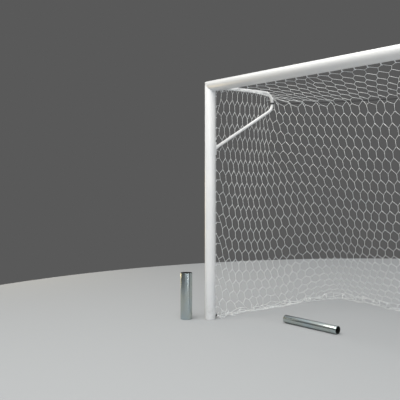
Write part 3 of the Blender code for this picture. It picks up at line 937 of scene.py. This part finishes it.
def add_white_tubes():
    """Posts and crossbar with eased, mitred ends that leave the fine seam at both corners."""
    for label, side in SIDES.items():
        def mitre(x, y, side=side):
            return BAR_Z + side * x - MITRE_GAP
        rings = pipe_rings(POST_RADIUS, FRAME_WALL, lambda x, y: 0.0, mitre, MITRE_EDGE)
        vertices, faces = ring_shell(rings)
        placed = [(x + side * POST_X, y + GOAL_LINE_Y, z) for x, y, z in vertices]
        piece = finished_piece(f"{label}_post_tube", placed, faces, [finishes["frame_white"]],
                               "goal")
        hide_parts(f"{label}_post")
    rings = pipe_rings(
        POST_RADIUS,
        FRAME_WALL,
        lambda x, y: -POST_X - x + MITRE_GAP,
        lambda x, y: POST_X + x - MITRE_GAP,
        MITRE_EDGE,
    )
    vertices, faces = ring_shell(rings)
    placed = [(height, y + GOAL_LINE_Y, x + BAR_Z) for x, y, height in vertices]
    piece = finished_piece("crossbar_tube", placed, [face[::-1] for face in faces],
                           [finishes["frame_white"]], "goal")
    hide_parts("crossbar")


def bow_line():
    """Centre line of a bow in (y, z): top leg, round nose, straight lower leg down to its bracket."""
    nose = BAR_Z - TIP_Z
    nose_y = TIP_Y - nose
    reach = nose_y - (GOAL_LINE_Y + POST_RADIUS)
    rise = TIP_Z - BOW_FOOT_HEIGHT
    slope = math.atan2(rise, reach) - math.asin(nose / math.hypot(reach, rise))
    start_y = BOW_LOW.y + BOW_START_GAP
    line = [(start_y + (nose_y - start_y) * step / LEG_STEPS, BAR_Z) for step in range(LEG_STEPS)]
    turn = math.pi - slope
    for step in range(NOSE_STEPS + 1):
        angle = math.pi / 2 - turn * step / NOSE_STEPS
        line.append((nose_y + nose * math.cos(angle), TIP_Z + nose * math.sin(angle)))
    end_y = GOAL_LINE_Y + POST_RADIUS + BOW_FOOT_GAP * math.cos(slope)
    end_z = BOW_FOOT_HEIGHT + BOW_FOOT_GAP * math.sin(slope)
    leave_y, leave_z = line[-1]
    for step in range(1, LEG_STEPS + 1):
        share = step / LEG_STEPS
        line.append((leave_y + (end_y - leave_y) * share, leave_z + (end_z - leave_z) * share))
    return line


def add_bows():
    """Net bows: hollow bent tubes along the bow line, one at each post."""
    line = bow_line()
    for label, side in SIDES.items():
        rings = []
        for radius, order in ((BOW_RADIUS, 1), (BOW_RADIUS - BOW_WALL, -1)):
            level = []
            for index, (y, z) in enumerate(line):
                before = line[max(index - 1, 0)]
                after = line[min(index + 1, len(line) - 1)]
                along = Vector((0, after[0] - before[0], after[1] - before[1])).normalized()
                across = along.cross(Vector((1, 0, 0)))
                ring = []
                for corner in range(BOW_SIDES):
                    angle = 2 * math.pi * corner / BOW_SIDES
                    out = radius * math.sin(angle)
                    ring.append((side * POST_X + radius * math.cos(angle),
                                 y + out * across.y, z + out * across.z))
                level.append(ring)
            rings.extend(level[::order])
        vertices, faces = ring_shell(rings)
        piece = finished_piece(f"{label}_bow_tube", vertices, faces, [finishes["frame_white"]],
                               "goal")
        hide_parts(f"{label}_net_bow")


def paint_shade_in_bore(piece, inner_radius):
    """Give the faces on the inside of a tube along its own Z the near-black painted shade finish."""
    for face in piece.data.polygons:
        corners = [piece.data.vertices[index].co for index in face.vertices]
        if all(math.hypot(corner.x, corner.y) < inner_radius + BORE_MARGIN for corner in corners):
            face.material_index = 1


def sleeve_profile(radius, height):
    """(radius, height) points of a ground sleeve: base plate, eased foot, wall and rolled rim."""
    inner = radius - SLEEVE_WALL
    half_wall = SLEEVE_WALL / 2
    rim_z = height - half_wall
    profile = [
        (0.0, 0.0),
        (radius - SLEEVE_FOOT_EDGE, 0.0),
        (radius - SLEEVE_FOOT_EASE, SLEEVE_FOOT_EASE),
        (radius, SLEEVE_FOOT_EDGE),
        (radius, SLEEVE_LOWEST_RING),
        (radius, rim_z),
    ]
    for step in range(1, SLEEVE_RIM_STEPS):
        angle = math.pi * step / SLEEVE_RIM_STEPS
        profile.append((radius - half_wall + half_wall * math.cos(angle),
                        rim_z + half_wall * math.sin(angle)))
    return profile + [(inner, rim_z), (inner, SLEEVE_BASE), (0.0, SLEEVE_BASE)]


def add_ground_sleeve(label):
    """The standing steel sleeve beside a post."""
    low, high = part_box(f"{label}_ground_sleeve")
    radius = (high.x - low.x) / 2
    vertices, faces = ring_shell(lathe_rings(sleeve_profile(radius, high.z)))
    place = Matrix.Translation(((low.x + high.x) / 2, (low.y + high.y) / 2, 0))
    sleeve = finished_piece(f"{label}_sleeve_tube", vertices, faces,
                            [finishes["galvanised"], bore], f"{label}_ground_sleeve",
                            place=place, weld_distance=3 * CLOSED_END_RADIUS)
    paint_shade_in_bore(sleeve, radius - SLEEVE_WALL / 4)
    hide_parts(f"{label}_ground_sleeve")


def add_spare_tube(label, side):
    """The thinner steel tube that lies on the floor beside the goal's corner."""
    low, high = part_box(f"{label}_spare_tube")
    radius = (high.z - low.z) / 2
    length = (high.x - low.x - 2 * radius * math.sin(SPARE_TUBE_TURN)) / math.cos(SPARE_TUBE_TURN)
    rings = pipe_rings(radius, SLEEVE_WALL, lambda x, y: -length / 2, lambda x, y: length / 2,
                       SPARE_TUBE_EDGE)
    vertices, faces = ring_shell(rings)
    middle = ((low.x + high.x) / 2, (low.y + high.y) / 2, radius)
    aim = Matrix.Rotation(-side * SPARE_TUBE_TURN, 4, "Z") @ Matrix.Rotation(math.pi / 2, 4, "Y")
    tube = finished_piece(f"{label}_lying_tube", vertices, faces,
                          [finishes["galvanised"], bore], f"{label}_spare_tube",
                          place=Matrix.Translation(middle) @ aim)
    paint_shade_in_bore(tube, radius - SLEEVE_WALL)
    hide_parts(f"{label}_spare_tube")



add_white_tubes()
add_bows()
for side_label, side_sign in SIDES.items():
    add_ground_sleeve(side_label)
    add_spare_tube(side_label, side_sign)

# ---- Net -----------------------------------------------------------------------------------------

NET_NODES = {
    "net_roof_cords": ["net_roof"],
    "net_back_cords": ["net_back", "net_back_skirt"],
    "net_left_side_cords": ["net_left_side", "net_left_skirt"],
    "net_right_side_cords": ["net_right_side", "net_right_skirt"],
}
net, net_places = hung_net()
lashing = ROPE_RADIUS + CORD_RADIUS
rope_loops = [ring_loop(middle, (1, 0, 0), lashing, CORD_RADIUS) for middle in net.rope_loops]
for name, nodes in NET_NODES.items():
    loops = rope_loops if name == "net_roof_cords" else []
    piece = net_piece(name, net, net_places, loops, finishes["net_white"])
    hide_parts(*nodes)

# ---- Studio: plain floor, dome and lights --------------------------------------------------------

floor_mesh = bpy.data.meshes.new("studio_floor")
rim_turns = [2 * math.pi * step / TUBE_SIDES for step in range(TUBE_SIDES)]
floor_rim = [(FLOOR_RADIUS * math.cos(turn), FLOOR_RADIUS * math.sin(turn), 0) for turn in rim_turns]
floor_mesh.from_pydata(floor_rim, [], [range(TUBE_SIDES)])
floor_mesh.materials.append(floor_finish())
floor = bpy.data.objects.new("studio_floor", floor_mesh)
floor.location = (0, 0, -FLOOR_DROP)
bpy.context.collection.objects.link(floor)


def studio_world():
    """Plain soft dome: even neutral grey round the horizon, brighter overhead."""
    world = bpy.data.worlds.new("studio")
    world.use_nodes = True
    tree = world.node_tree
    background = tree.nodes["Background"]
    coordinates = tree.nodes.new("ShaderNodeTexCoord")
    split = tree.nodes.new("ShaderNodeSeparateXYZ")
    tree.links.new(coordinates.outputs["Generated"], split.inputs["Vector"])
    tone = ramp(tree, split.outputs["Z"], [(0.28, 0.10), (0.45, 0.16), (0.75, 0.80)])
    tree.links.new(tone, background.inputs["Color"])
    bpy.context.scene.world = world


studio_world()


def soft_light(name, place, target, size, power, colour=(1.0, 1.0, 1.0)):
    """A rectangular area light that faces a target and that the camera doesn't see."""
    data = bpy.data.lights.new(name, "AREA")
    data.shape = "RECTANGLE"
    data.size, data.size_y = size
    data.energy = power
    data.color = colour
    light = bpy.data.objects.new(name, data)
    light.location = place
    light.rotation_euler = (Vector(target) - Vector(place)).to_track_quat("-Z", "Y").to_euler()
    light.visible_camera = False
    bpy.context.collection.objects.link(light)


soft_light("key", (-1.5, -5.0, 9.0), (-1.0, 0.0, 0.0), (9.0, 6.0), 960.0, (1.0, 0.968, 0.908))
soft_light("front_fill", (5.5, -9.0, 4.0), (-2.0, 0.0, 1.2), (5.0, 4.0), 220.0, (0.94, 0.97, 1.0))
soft_light("side_strip", (9.5, -1.8, 1.6), (-3.9, -1.1, 0.4), (1.6, 3.0), 100.0)
soft_light("warm_edge", (-10.0, -1.8, 1.0), (-3.9, -1.1, 0.3), (1.2, 2.4), 80.0, (1.0, 0.80, 0.48))
